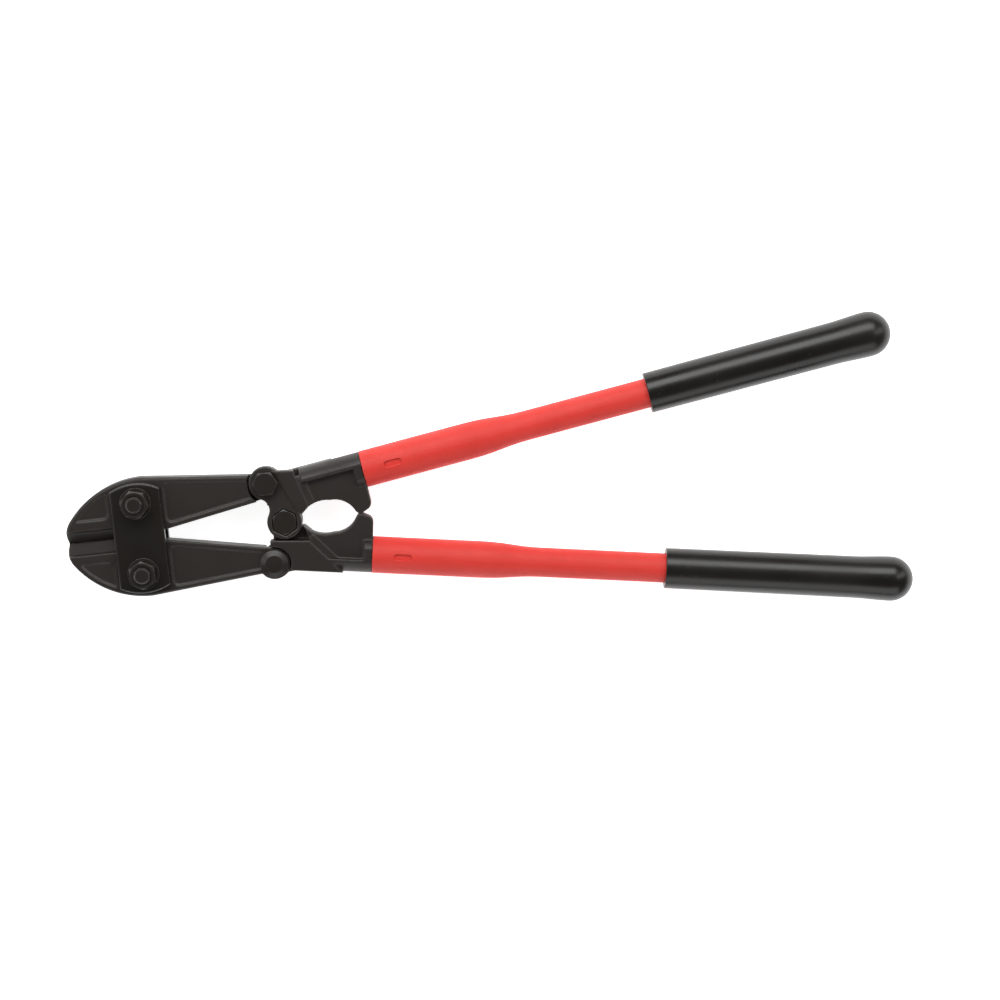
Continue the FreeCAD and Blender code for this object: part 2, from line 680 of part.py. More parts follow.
def trim_hexagon(body, flats, low, high, at_low, at_high):
    """Turn the corners of a hexagon down to a cone at one or both of its ends."""
    inside = flats / 2 - S.hexagon_corner
    outside = flats * 0.65
    fall = (outside - inside) * CONE_SLOPE
    if at_high:
        top = new_sketch(body, "top_cone", "XZ_Plane")
        draw_outline(top, [(inside, high), (outside, high - fall), (outside, high + OVERRUN),
                           (inside, high + OVERRUN)])
        revolve(body, top, "V_Axis", removing=True)
    if at_low:
        bottom = new_sketch(body, "bottom_cone", "XZ_Plane")
        draw_outline(bottom, [(inside, low), (inside, low - OVERRUN), (outside, low - OVERRUN),
                              (outside, low + fall)])
        revolve(body, bottom, "V_Axis", removing=True)


def build_jaw_bolt(label, side):
    """Hexagon-head bolt through both straps and the bush, head on the rear face."""
    body = new_body(label)
    head = new_sketch(body, "head", "XY_Plane", -rear_rest)
    draw_outline(head, hexagon(S.jaw_nut_flats, turned=True))
    pad(body, head, S.jaw_head_height)
    trim_hexagon(body, S.jaw_nut_flats, -rear_rest, -strap_outer, at_low=True, at_high=False)
    shank = new_sketch(body, "shank", "XY_Plane", -strap_outer)
    draw_circle(shank, 0.0, 0.0, S.jaw_bolt_radius)
    pad(body, shank, strap_outer + bolt_top)
    dress(body, "Chamfer", "end", S.bolt_chamfer, lies_at(bolt_top))
    place(body, -S.jaw_pivot_x, S.jaw_pivot_y * side)
    return body


def build_jaw_nut(label, side, turn):
    """Hexagon nut, chamfered at both ends and left turned as it was tightened."""
    body = new_body(label)
    blank = new_sketch(body, "blank", "XY_Plane", nut_seat)
    draw_outline(blank, hexagon(S.jaw_nut_flats, turned=True))
    pad(body, blank, S.jaw_nut_height)
    trim_hexagon(body, S.jaw_nut_flats, nut_seat, nut_top, at_low=True, at_high=True)
    bore = new_sketch(body, "bore", "XY_Plane", nut_top)
    draw_circle(bore, 0.0, 0.0, S.jaw_bolt_radius + S.running_gap)
    pocket(body, bore, S.jaw_nut_height * 2)
    dress(body, "Chamfer", "mouth", S.nut_chamfer,
          lambda edge: lies_at(nut_top)(edge)
          and edge.BoundBox.XLength < S.jaw_nut_flats.value * 0.8)
    place(body, -S.jaw_pivot_x, S.jaw_pivot_y * side, angle=turn)
    return body


# -------------------------------------------------------------------------------- handle heads


def along_handle(distance, offset=0.0):
    """A point given along the handle's axis from the tube's mouth, and to the left of it."""
    distance, offset = as_size(distance), as_size(offset)
    return (S.mouth_x + distance * handle_cos - offset * handle_sin,
            S.mouth_y + distance * handle_sin + offset * handle_cos)


def beside_arm(distance, offset):
    """A point given along the arm from the centre pivot, and to the right of it."""
    distance, offset = as_size(distance), as_size(offset)
    return (distance * arm_x + offset * arm_y, distance * arm_y - offset * arm_x)


def past_recess(distance):
    """A point on the recess edge, which touches the boss's recess: distance past that point."""
    distance = as_size(distance)
    tilt_cos, tilt_sin = cosine(S.recess_tilt), sine(S.recess_tilt)
    reach = recess_radius + SAME
    return (distance * tilt_cos - reach * tilt_sin, distance * tilt_sin + reach * tilt_cos)


def add_cylinder(body, label, start, length, radius):
    """A round bar along the handle's axis, from a distance before or after the tube's mouth."""
    bar = body.newObject("PartDesign::AdditiveCylinder", body.Label + "_" + label)
    direction = FreeCAD.Vector(handle_cos.value, handle_sin.value, 0)
    x, y = along_handle(start)
    bar.Placement = FreeCAD.Placement(
        FreeCAD.Vector(x.value, y.value, 0), FreeCAD.Rotation(FreeCAD.Vector(0, 0, 1), direction))
    bind(bar, "Placement.Base.x", x)
    bind(bar, "Placement.Base.y", y)
    bind(bar, "Radius", radius)
    bind(bar, "Height", length)
    doc.recompute()
    return bar


def head_barrel(body):
    """Barrel and collar, nearly as wide as the tube and flattened to the block's thickness."""
    start = S.barrel_start - S.mouth_x
    add_cylinder(body, "barrel", start, -start, S.tube_radius - S.barrel_step)
    for side in (1, -1):
        trim = new_sketch(body, "trim%d" % (side > 0), "XY_Plane", head_half * side)
        draw_outline(trim, [(0.0, 0.0), (S.mouth_x * 2, 0.0), (S.mouth_x * 2, FAR), (0.0, FAR)])
        pocket(body, trim, FAR, upwards=side > 0)
    # The web is lower than the barrel on both faces, up to the collar.
    for side, top in ((1, S.front_web_top), (-1, S.rear_web_top)):
        recess = new_sketch(body, "recess%d" % (side > 0), "XY_Plane", head_half * side)
        draw_outline(recess, [
            along_handle(start - OVERRUN, -S.tube_radius - OVERRUN),
            along_handle(-S.collar_length, -S.tube_radius - OVERRUN),
            along_handle(-S.collar_length, top),
            along_handle(start - OVERRUN, top),
        ])
        pocket(body, recess, head_half - web_half, upwards=side < 0)


def head_web(body):
    """Web and stop: one plate from the boss's recess to the stop, round the window."""
    web = new_sketch(body, "web", "XY_Plane")
    land_start = S.stop_x - S.stop_land / 2
    land_end = S.stop_x + S.stop_land / 2
    draw_outline(web, [
        (recess_radius + SAME, S.window_start, -S.window_rise),
        (S.window_middle, S.window_height, -S.window_fall),
        (land_start - S.stop_bevel, S.stop_gap + S.stop_bevel),
        (land_start, S.stop_gap),
        (land_end, S.stop_gap),
        (S.stop_outer - S.stop_corner * 0.6, S.stop_gap + S.stop_corner * 0.4, S.stop_corner),
        (S.stop_outer, S.stop_shoulder),
        along_handle(-S.recess_gap / 2, -S.tube_radius),
        along_handle(-S.recess_gap / 2, 0.0),
        along_handle(S.barrel_start * 1.5 - S.mouth_x, 0.0),
        past_recess(S.recess_run),
    ])
    pad(body, web, S.web_thickness, midplane=True)


def add_slope(body, label, side, low, high, start, end):
    """A slope from the block's face down to the web, beside the wall from low to high.

    It stops short of both ends of that wall, by the given start and end.
    """
    low_x, low_y, high_x, high_y = (as_size(x).value for x in low + high)
    run = math.hypot(high_x - low_x, high_y - low_y)
    share = as_size(start).value / run
    slope = new_sketch(body, label, "YZ_Plane")
    slope.AttachmentOffset = FreeCAD.Placement(
        FreeCAD.Vector(low_y + (high_y - low_y) * share, 0, low_x + (high_x - low_x) * share),
        FreeCAD.Rotation(FreeCAD.Vector(0, 1, 0),
                         math.degrees(math.atan2(high_y - low_y, high_x - low_x))))
    draw_outline(slope, [
        (0.0, head_half * side),
        (S.block_slope / 4, web_half / 2 * side),
        (-S.block_slope, web_half / 2 * side),
        (-S.block_slope, web_half * side),
    ])
    pad(body, slope, run - start - end)


def head_blocks(body):
    """The block around the pivots, with slopes down to the web: its two faces differ."""
    top = S.tube_radius - S.barrel_step
    front_low = (S.window_middle * 0.54, S.window_height * 0.78)
    front_high = along_handle(S.front_block_top - S.mouth_x, top)
    front_block = new_sketch(body, "front_block", "XY_Plane")
    draw_outline(front_block, [
        beside_arm(S.boss_radius * 0.2, S.boss_radius * 0.92),
        (recess_radius + SAME, S.window_start),
        front_low,
        front_high,
        beside_arm(arm + S.ear_radius * 0.48, S.ear_radius * 0.69),
    ])
    pad(body, front_block, head_half)
    add_slope(body, "front_slope", 1, front_low, front_high,
              S.block_slope / 3, S.block_slope)

    # The other side leaves room for the other handle's boss, along a line that touches it.
    rear_low = past_recess(S.recess_run)
    rear_high = along_handle(S.rear_block_top - S.mouth_x, top)
    rear_block = new_sketch(body, "rear_block", "XY_Plane")
    draw_outline(rear_block, [
        past_recess(-S.link_x),
        rear_low,
        rear_high,
        along_handle(-S.mouth_x - OVERRUN, top),
        (-S.link_x, S.link_y + S.tail_drop),
    ])
    pad(body, rear_block, head_half, downwards=True)
    add_slope(body, "rear_slope", -1, rear_low, rear_high, 0.0, S.block_slope * 1.5)


def head_lug(body):
    """Lug plate: ear and boss with a hollow between them, on one half of the thickness."""
    ear_touch = S.ear_radius / ear_reach
    boss_touch = S.boss_radius / boss_reach
    ear_x, ear_y = -S.link_x, S.link_y
    lug = new_sketch(body, "lug", "XY_Plane", S.slide_gap)
    draw_outline(lug, [
        beside_arm(0.0, S.boss_radius),
        beside_arm(arm, S.ear_radius) + (S.ear_radius,),
        beside_arm(arm + S.ear_radius, 0.0) + (S.ear_radius,),
        (ear_x + (waist_x - ear_x) * ear_touch, ear_y + (waist_y - ear_y) * ear_touch,
         -S.waist_radius),
        (waist_x * boss_touch, waist_y * boss_touch, S.boss_radius),
        beside_arm(-S.boss_radius, 0.0) + (S.boss_radius,),
    ])
    pad(body, lug, lug_face - S.slide_gap)


def build_head(label, upper):
    """One forged handle head: lug plate, block, barrel, web, stop and the shank in the tube."""
    body = new_body(label)
    head_barrel(body)
    head_web(body)
    head_blocks(body)
    # Room for the jaw's eye is cut before the lug plate is added over it.
    eye_room = S.eye_radius + S.recess_gap + (S.open_link_play if upper else 0.0)
    eye_cut = new_sketch(body, "eye_cut", "XY_Plane")
    draw_circle(eye_cut, -S.link_x, S.link_y, eye_room)
    pocket(body, eye_cut, head_half * 2)
    head_lug(body)
    add_cylinder(body, "shank", -S.collar_length / 2, S.shank_length + S.collar_length / 2,
                 S.tube_radius - S.tube_wall - S.running_gap)
    bores = new_sketch(body, "bores", "XY_Plane")
    draw_circle(bores, 0.0, 0.0, S.centre_bolt_radius + S.running_gap)
    draw_circle(bores, -S.link_x, S.link_y, S.link_bolt_radius + S.running_gap)
    pocket(body, bores, head_half * 3, both_ways=True)
    seat = new_sketch(body, "seat", "XY_Plane", pocket_floor)
    if upper:
        draw_outline(seat, hexagon(S.centre_flats + S.pocket_gap * 2, turned=True))
    else:
        draw_circle(seat, 0.0, 0.0, S.centre_nut_radius + S.pocket_gap)
    pocket(body, seat, S.pocket_depth * 2, upwards=True)
    place_half(body, upper)
    return body


# ------------------------------------------------------------------- centre bolt and link bolts


def build_centre_bolt(label):
    """Hexagon-head pivot bolt, its head sunk in the upper handle's pocket."""
    body = new_body(label)
    head_top = lug_face - S.head_sink
    tip = lug_face - S.end_sink
    head = new_sketch(body, "head", "XY_Plane", pocket_floor)
    draw_outline(head, hexagon(S.centre_flats, turned=True))
    pad(body, head, head_top - pocket_floor)
    trim_hexagon(body, S.centre_flats, pocket_floor, head_top, at_low=False, at_high=True)
    shank = new_sketch(body, "shank", "XY_Plane", pocket_floor)
    draw_circle(shank, 0.0, 0.0, S.centre_bolt_radius)
    pad(body, shank, pocket_floor + tip, downwards=True)
    dress(body, "Chamfer", "end", S.pin_chamfer, lies_at(-tip))
    place(body, 0.0, 0.0)
    return body


def build_link_bolt(label, upper):
    """Shoulder bolt through ear and eye, hexagon head on the ear's side."""
    body = new_body(label)
    head_top = lug_face + S.link_head_height
    head = new_sketch(body, "head", "XY_Plane", lug_face)
    draw_outline(head, hexagon(S.link_flats))
    pad(body, head, S.link_head_height)
    trim_hexagon(body, S.link_flats, lug_face, head_top, at_low=False, at_high=True)
    shoulder = new_sketch(body, "shoulder", "XY_Plane", lug_face)
    draw_circle(shoulder, 0.0, 0.0, S.link_bolt_radius)
    pad(body, shoulder, lug_face + jaw_half, downwards=True)
    stub = new_sketch(body, "stub", "XY_Plane", -jaw_half)
    draw_circle(stub, 0.0, 0.0, S.link_stub_radius)
    pad(body, stub, S.link_stub, downwards=True)
    place_half(body, upper, -S.link_x, S.link_y)
    return body


def build_link_cap(label, upper):
    """Round low-domed cap screwed on the link bolt, over the eye of the jaw's tail."""
    body = new_body(label)
    bottom = -jaw_half - S.link_cap_height
    blind = -jaw_half - S.link_stub - S.blind_gap
    bore = S.link_stub_radius + S.running_gap
    section = new_sketch(body, "section", "XZ_Plane")
    draw_outline(section, [
        (bore, -jaw_half),
        (bore, blind),
        (0.0, blind),
        (0.0, bottom),
        (S.link_cap_flat, bottom + S.link_cap_crown),
        (S.link_cap_radius, bottom + S.link_cap_dome),
        (S.link_cap_radius, -jaw_half),
    ])
    revolve(body, section, "V_Axis")
    place_half(body, upper, -S.link_x, S.link_y)
    return body


# ------------------------------------------------------------------------------ tubes and grips


def place_on_handle(body, upper):
    """Lay a piece drawn along X on the handle's axis, its zero at the tube's mouth."""
    side = 1 if upper else -1
    place(body, S.mouth_x, S.mouth_y * side, axis=FreeCAD.Vector(0, 0, side), angle=S.handle_angle)
    bind(body, "Placement.Rotation.Angle", S.handle_angle)


def build_tube(label, upper):
    """Steel tube, wide at the mouth, drawn down to a neck, with crimp dimples on both faces."""
    body = new_body(label)
    wide, neck = S.tube_radius, S.tube_neck_radius
    # The outside of the taper is two equal arcs, level at both ends of the taper.
    half_run = (S.taper_end - S.taper_start) / 2
    half_drop = (wide - neck) / 2
    taper_radius = (half_run * half_run + half_drop * half_drop) / (half_drop * 2)
    section = new_sketch(body, "section", "XZ_Plane")
    draw_outline(section, [
        (0.0, wide - S.tube_wall),
        (S.taper_start, wide - S.tube_wall),
        (S.taper_end, neck - S.tube_wall),
        (tube_length, neck - S.tube_wall),
        (tube_length, neck),
        (S.taper_end, neck, -taper_radius),
        (S.taper_start + half_run, neck + half_drop, taper_radius),
        (S.taper_start, wide),
        (0.0, wide),
    ])
    revolve(body, section, "H_Axis")
    for side in (1, -1):
        dimple = new_sketch(body, "dimple%d" % (side > 0), "XY_Plane",
                            (wide - S.dimple_depth) * side)
        draw_slot(dimple, S.dimple_x, 0.0, (S.dimple_length - S.dimple_width) / 2, 0.0,
                  S.dimple_width / 2)
        pocket(body, dimple, S.dimple_depth * 2, upwards=side > 0)
    place_on_handle(body, upper)
    return body


def build_grip(label, upper):
    """Dipped grip: a thick sleeve over the tube's end, closed by a round bulb."""
    body = new_body(label)
    inner = S.tube_neck_radius + S.running_gap
    swell_end = bulb_centre - S.bulb_flare
    tube_end = tube_length + S.tube_end_gap
    section = new_sketch(body, "section", "XZ_Plane")
    draw_outline(section, [
        (S.grip_start, inner),
        (tube_end, inner),
        (tube_end, 0.0),
        (S.grip_end, 0.0, S.bulb_radius),
        (bulb_centre, S.bulb_radius),
        (swell_end, S.grip_swell_radius),
        (S.grip_start + S.grip_lip_length, S.grip_radius),
        (S.grip_start, S.grip_radius - S.grip_lip),
    ])
    revolve(body, section, "H_Axis")
    place_on_handle(body, upper)
    return body


# ------------------------------------------------------------------------------------ assembly


def build_all():
    """Every separate piece of the tool, in the order in which it would come apart."""
    pieces = []
    for half, upper in (("upper", True), ("lower", False)):
        side = 1 if upper else -1
        pieces.append(build_jaw(half + "_jaw", upper, S.open_link_play if upper else None))
        bush = ring(half + "_jaw_bush", S.jaw_bolt_radius + S.running_gap, bush_radius,
                    -strap_inner, strap_inner)
        place(bush, -S.jaw_pivot_x, S.jaw_pivot_y * side)
        washer = ring(half + "_jaw_washer", S.jaw_bolt_radius + S.running_gap, S.washer_radius,
                      strap_outer, nut_seat)
        place(washer, -S.jaw_pivot_x, S.jaw_pivot_y * side)
        pieces += [bush, washer]
        pieces.append(build_jaw_bolt(half + "_jaw_bolt", side))
        pieces.append(build_jaw_nut(half + "_jaw_nut", side, S.nut_turn if upper else 0.0))
        pieces.append(build_head(half + "_handle_head", upper))
        pieces.append(build_link_bolt(half + "_link_bolt", upper))
        pieces.append(build_link_cap(half + "_link_cap", upper))
        pieces.append(build_tube(half + "_handle_tube", upper))
        pieces.append(build_grip(half + "_grip", upper))
    pieces.append(build_strap("front_strap", True))
    pieces.append(build_strap("rear_strap", False))
    pieces.append(build_centre_bolt("centre_bolt"))
    washer_seat = pocket_floor + S.slide_gap
    washer_face = washer_seat + S.centre_washer_thickness
    centre_washer = ring("centre_washer", S.centre_bolt_radius + S.running_gap,
                         S.centre_nut_radius, -washer_face, -washer_seat)
    centre_nut = ring("centre_nut", S.centre_bolt_radius + S.running_gap,
                      S.centre_nut_radius - S.centre_nut_step, S.head_sink - lug_face, -washer_face)
    for piece in (centre_washer, centre_nut):
        place(piece, 0.0, 0.0)
        pieces.append(piece)
    return pieces


def check_document(pieces):
    """Stop if any object failed or any piece is not one valid solid."""
    for item in doc.Objects:
        if "Invalid" in item.State or "Error" in item.State:
            raise RuntimeError("%s is in state %s" % (item.Name, item.State))
    for piece in pieces:
        shape = piece.Shape
        if shape.isNull() or not shape.isValid() or len(shape.Solids) != 1:
            raise RuntimeError("%s is not one valid solid" % piece.Label)


def main():
    pieces = build_all()
    doc.recompute()
    check_document(pieces)
    os.makedirs("parts", exist_ok=True)
    for piece in pieces:
        piece.Shape.exportStep("parts/%s.step" % piece.Label)
    print("%d pieces written" % len(pieces))


main()
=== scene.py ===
"""Bolt cutters lying closed on a pale floor: forged pieces, grips, finishes, light and camera.

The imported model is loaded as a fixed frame. Forgings, bolts and grips are remodelled around it
with the softened edges, threads and dipped vinyl of the real tool, and every piece gets its finish.
"""
import json
import logging
import math
from dataclasses import dataclass, field
from enum import Enum
from typing import Callable, Dict, List, Optional, Sequence, Tuple

import bpy
from mathutils import Matrix, Vector


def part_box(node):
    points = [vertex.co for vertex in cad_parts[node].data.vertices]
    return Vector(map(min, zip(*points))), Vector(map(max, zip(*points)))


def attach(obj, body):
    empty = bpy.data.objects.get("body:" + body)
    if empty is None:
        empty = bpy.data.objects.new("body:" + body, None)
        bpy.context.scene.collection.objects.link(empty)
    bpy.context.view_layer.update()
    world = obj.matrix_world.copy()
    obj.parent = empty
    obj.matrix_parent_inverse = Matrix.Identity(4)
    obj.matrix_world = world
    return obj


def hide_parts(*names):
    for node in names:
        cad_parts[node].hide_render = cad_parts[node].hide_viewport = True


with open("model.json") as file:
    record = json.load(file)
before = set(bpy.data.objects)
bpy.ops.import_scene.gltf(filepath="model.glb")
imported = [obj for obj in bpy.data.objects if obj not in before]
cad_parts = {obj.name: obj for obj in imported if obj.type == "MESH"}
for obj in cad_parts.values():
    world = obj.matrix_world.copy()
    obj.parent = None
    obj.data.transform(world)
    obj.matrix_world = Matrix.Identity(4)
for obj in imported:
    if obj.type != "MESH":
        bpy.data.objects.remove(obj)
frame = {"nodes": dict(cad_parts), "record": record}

log = logging.getLogger("bolt_cutters")

MM = 0.001
SAME = 0.002 * MM
# Share of the edge mask, rubbed wear and painted highlight alike, that shows everywhere whatever
# the scuffs.
EVEN_WEAR_AND_HIGHLIGHT = 0.35
FACET_ANGLE = math.radians(28)
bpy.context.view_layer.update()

Colour = Tuple[float, float, float, float]


class Slot(Enum):
    """Material slots that the record names."""

    FORGED = "forged_black"
    HARDWARE = "hardware_black"
    RED = "red_powder_coat"
    VINYL = "black_vinyl"


class Half(Enum):
    """The two halves of the tool, with the side of the tool's axis that each lies on."""

    UPPER = 1
    LOWER = -1

    @property
    def word(self) -> str:
        """First word of the names of this half's pieces."""
        return self.name.lower()


class Look(Enum):
    """Finishes that a forging can have."""

    FORGED = "forged"
    STRAP = "strap"


@dataclass(frozen=True)
class Grain:
    """A noise: features in each metre, finer octaves, their strength, and the values it spreads."""

    scale: float
    detail: float
    roughness: float = 0.5
    band: Tuple[float, float] = (0.0, 1.0)


PITS = Grain(1500.0, 5.0, 0.65)
PEEL = Grain(1300.0, 2.0)
SPECKS = Grain(900.0, 2.0, 0.4, (0.735, 0.78))
SCUFFS = Grain(420.0, 4.0, 0.6, (0.30, 0.62))
WAVES = Grain(170.0, 2.0)
PATCHES = Grain(48.0, 6.0, 0.62, (0.34, 0.66))
SMUDGES = Grain(26.0, 2.0, 0.5, (0.25, 0.75))


# ------------------------------------------------------------------------------ shader groups


class GroupBuilder:
    """Builds one shader node group, with named inputs and outputs."""

    def __init__(self, name: str) -> None:
        """Start an empty group with its input and output nodes."""
        self.tree = bpy.data.node_groups.new(name, "ShaderNodeTree")
        self.source = self.tree.nodes.new("NodeGroupInput")
        self.sink = self.tree.nodes.new("NodeGroupOutput")

    def takes(self, name: str, default: float) -> None:
        """Add a number that each material sets for itself."""
        socket = self.tree.interface.new_socket(
            name=name, in_out="INPUT", socket_type="NodeSocketFloat")
        socket.default_value = default

    def gives(self, name: str, kind: str = "NodeSocketFloat") -> None:
        """Add an output."""
        self.tree.interface.new_socket(name=name, in_out="OUTPUT", socket_type=kind)

    def node(self, kind: str, **settings: object) -> bpy.types.Node:
        """Add a node and set its properties.

        Args:
            kind: The node's type.
            **settings: Its properties.

        Returns:
            The node.
        """
        made = self.tree.nodes.new(kind)
        for key, value in settings.items():
            setattr(made, key, value)
        return made

    def link(self, output: bpy.types.NodeSocket, target: bpy.types.NodeSocket) -> None:
        """Join two sockets."""
        self.tree.links.new(output, target)

    def noise(self, grain: Grain) -> bpy.types.NodeSocket:
        """Noise over the object's own coordinates.

        Args:
            grain: The noise's numbers.

        Returns:
            The socket with the noise's value.
        """
        place = self.node("ShaderNodeTexCoord")
        texture = self.node("ShaderNodeTexNoise")
        texture.inputs["Scale"].default_value = grain.scale
        texture.inputs["Detail"].default_value = grain.detail
        texture.inputs["Roughness"].default_value = grain.roughness
        self.link(place.outputs["Object"], texture.inputs["Vector"])
        return texture.outputs["Fac"]

    def maths(self, operation: str, first: object, second: object,
              clamp: bool = False) -> bpy.types.NodeSocket:
        """One arithmetic step.

        Args:
            operation: Name of the Math node's operation.
            first: A socket or a number.
            second: A socket or a number.
            clamp: Keep the result between nought and one.

        Returns:
            The socket with the result.
        """
        made = self.node("ShaderNodeMath", operation=operation, use_clamp=clamp)
        for index, value in enumerate((first, second)):
            if isinstance(value, (int, float)):
                made.inputs[index].default_value = value
            else:
                self.link(value, made.inputs[index])
        return made.outputs[0]

    def spread(self, grain: Grain) -> bpy.types.NodeSocket:
        """Noise whose values between its band's ends are stretched to nought and one.

        Args:
            grain: The noise's numbers.

        Returns:
            The socket with the stretched value.
        """
        made = self.node("ShaderNodeMapRange", clamp=True)
        made.inputs["From Min"].default_value, made.inputs["From Max"].default_value = grain.band
        self.link(self.noise(grain), made.inputs["Value"])
        return made.outputs["Result"]


def edge_wear_and_highlight_group() -> bpy.types.NodeTree:
    """Where corners are lightened, partly as rubbed wear and partly as painted highlight where a
    rounded edge would catch the light, and the normal of those corners once rounded.

    Returns:
        A group that takes Radius and Gain and gives the edge mask of wear and painted highlight,
        and Normal.
    """
    group = GroupBuilder("edge_wear")
    group.takes("Radius", 0.0005)
    group.takes("Gain", 4.0)
    group.gives("Wear")
    group.gives("Normal", "NodeSocketVector")
    rounded = group.node("ShaderNodeBevel", samples=6)
    group.link(group.source.outputs["Radius"], rounded.inputs["Radius"])
    surface = group.node("ShaderNodeNewGeometry")
    likeness = group.node("ShaderNodeVectorMath", operation="DOT_PRODUCT")
    group.link(rounded.outputs["Normal"], likeness.inputs[0])
    group.link(surface.outputs["Normal"], likeness.inputs[1])
    corner = group.maths("SUBTRACT", 1.0, likeness.outputs["Value"])
    patchy = group.spread(SCUFFS)
    strong = group.maths("MULTIPLY", corner, group.source.outputs["Gain"])
    uneven = group.maths("ADD", group.maths("MULTIPLY", patchy, 1.0 - EVEN_WEAR_AND_HIGHLIGHT), EVEN_WEAR_AND_HIGHLIGHT)
    # Painted highlight mixed with wear: corners are lightened where a rounded edge would catch the
    # light, made patchy by scuffs.
    wear = group.maths("MULTIPLY", strong, uneven, clamp=True)
    group.link(wear, group.sink.inputs["Wear"])
    group.link(rounded.outputs["Normal"], group.sink.inputs["Normal"])
    return group.tree


def forge_skin_group() -> bpy.types.NodeTree:
    """The skin that forging and blasting leave: fine pits, soft waves and patches of oxide.

    Returns:
        A group that takes Pits and Waves and gives Height and Patches.
    """
    group = GroupBuilder("forge_skin")
    group.takes("Pits", 0.5)
    group.takes("Waves", 0.5)
    group.gives("Height")
    group.gives("Patches")
    pits = group.maths("MULTIPLY", group.noise(PITS), group.source.outputs["Pits"])
    waves = group.maths("MULTIPLY", group.noise(WAVES), group.source.outputs["Waves"])
    group.link(group.maths("ADD", pits, waves), group.sink.inputs["Height"])
    group.link(group.spread(PATCHES), group.sink.inputs["Patches"])
    return group.tree


def handling_group() -> bpy.types.NodeTree:
    """Marks of use: smudges that change the gloss, and a few specks of dust.

    Returns:
        A group that takes Smudge and Dust and gives Gloss and Specks.
    """
    group = GroupBuilder("handling")
    group.takes("Smudge", 0.5)
    group.takes("Dust", 0.2)
    group.gives("Gloss")
    group.gives("Specks")
    gloss = group.maths("MULTIPLY", group.spread(SMUDGES), group.source.outputs["Smudge"])
    specks = group.maths("MULTIPLY", group.spread(SPECKS), group.source.outputs["Dust"])
    group.link(gloss, group.sink.inputs["Gloss"])
    group.link(specks, group.sink.inputs["Specks"])
    return group.tree


# ----------------------------------------------------------------------------------- finishes


@dataclass
class Workshop:
    """The shader groups that all finishes share."""

    # Edge mask: rubbed wear and painted highlight on corners.
    wear: bpy.types.NodeTree = field(default_factory=edge_wear_and_highlight_group)
    skin: bpy.types.NodeTree = field(default_factory=forge_skin_group)
    handling: bpy.types.NodeTree = field(default_factory=handling_group)


class FinishBuilder:
    """Builds one material around its own Principled shader."""

    def __init__(self, name: str) -> None:
        """Start a material that holds only its shader."""
        self.material = bpy.data.materials.new(name)
        self.material.use_nodes = True
        self.nodes = self.material.node_tree.nodes
        self.shader = self.nodes["Principled BSDF"]

    def group(self, tree: bpy.types.NodeTree, **values: float) -> bpy.types.Node:
        """Place a shared group and set its inputs.

        Args:
            tree: The group.
            **values: Its inputs by name; the others keep the group's defaults.

        Returns:
            The node that holds it.
        """
        made = self.nodes.new("ShaderNodeGroup")
        made.node_tree = tree
        for key, value in values.items():
            made.inputs[key].default_value = value
        return made

    def link(self, output: bpy.types.NodeSocket, target: bpy.types.NodeSocket) -> None:
        """Join two sockets."""
        self.material.node_tree.links.new(output, target)

    def blend(self, mask: bpy.types.NodeSocket, base: object,
              other: Colour) -> bpy.types.NodeSocket:
        """Mix two colours.

        Args:
            mask: Where the second colour shows.
            base: A colour, or the socket of one.
            other: The second colour.

        Returns:
            The socket with the mixed colour.
        """
        made = self.nodes.new("ShaderNodeMix")
        made.data_type = "RGBA"
        self.link(mask, made.inputs["Factor"])
        if isinstance(base, tuple):
            made.inputs["A"].default_value = base
        else:
            self.link(base, made.inputs["A"])
        made.inputs["B"].default_value = other
        return made.outputs["Result"]

    def shift(self, mask: bpy.types.NodeSocket, low: float, high: float) -> bpy.types.NodeSocket:
        """A number that runs from low to high as the mask runs from nought to one.

        Args:
            mask: The mask.
            low: The number where the mask is nought.
            high: The number where the mask is one.

        Returns:
            The socket with the number.
        """
        made = self.nodes.new("ShaderNodeMapRange")
        made.inputs["To Min"].default_value = low
        made.inputs["To Max"].default_value = high
        self.link(mask, made.inputs["Value"])
        return made.outputs["Result"]

    def relief(self, height: bpy.types.NodeSocket, strength: float, depth: float,
               normal: Optional[bpy.types.NodeSocket] = None) -> None:
        """Raise the surface by a height, over an optional rounded normal.

        Args:
            height: Socket with the height.
            strength: How much of it shows.
            depth: Depth in metres of a height of one.
            normal: Normal that it is added to.
        """
        bump = self.nodes.new("ShaderNodeBump")
        bump.inputs["Strength"].default_value = strength
        bump.inputs["Distance"].default_value = depth
        self.link(height, bump.inputs["Height"])
        if normal is not None:
            self.link(normal, bump.inputs["Normal"])
        self.link(bump.outputs["Normal"], self.shader.inputs["Normal"])


@dataclass(frozen=True)
class SteelFinish:
    """Black oxide on steel: forged, machined or ground, by its numbers."""

    name: str
    dark: Colour
    light: Colour
    # Colour of the corners: rubbed steel and painted highlight where rounded edges catch the light.
    worn_and_lit_edge: Colour
    smooth: float
    rough: float
    pits: float
    waves: float
    depth: float
    edge_radius: float
    edge_gain: float
    relief: float = 0.55

    def build(self, shop: Workshop) -> bpy.types.Material:
        """Make the material.

        Args:
            shop: The shared groups.

        Returns:
            The material.
        """
        kit = FinishBuilder(self.name)
        skin = kit.group(shop.skin, Pits=self.pits, Waves=self.waves)
        wear = kit.group(shop.wear, Radius=self.edge_radius, Gain=self.edge_gain)
        colour = kit.blend(skin.outputs["Patches"], self.dark, self.light)
        # Painted highlight with wear: the edge mask lightens corners towards that colour.
        kit.link(kit.blend(wear.outputs["Wear"], colour, self.worn_and_lit_edge),
                 kit.shader.inputs["Base Color"])
        kit.link(kit.shift(skin.outputs["Patches"], self.rough, self.smooth),
                 kit.shader.inputs["Roughness"])
        kit.relief(skin.outputs["Height"], self.relief, self.depth, wear.outputs["Normal"])
        return kit.material


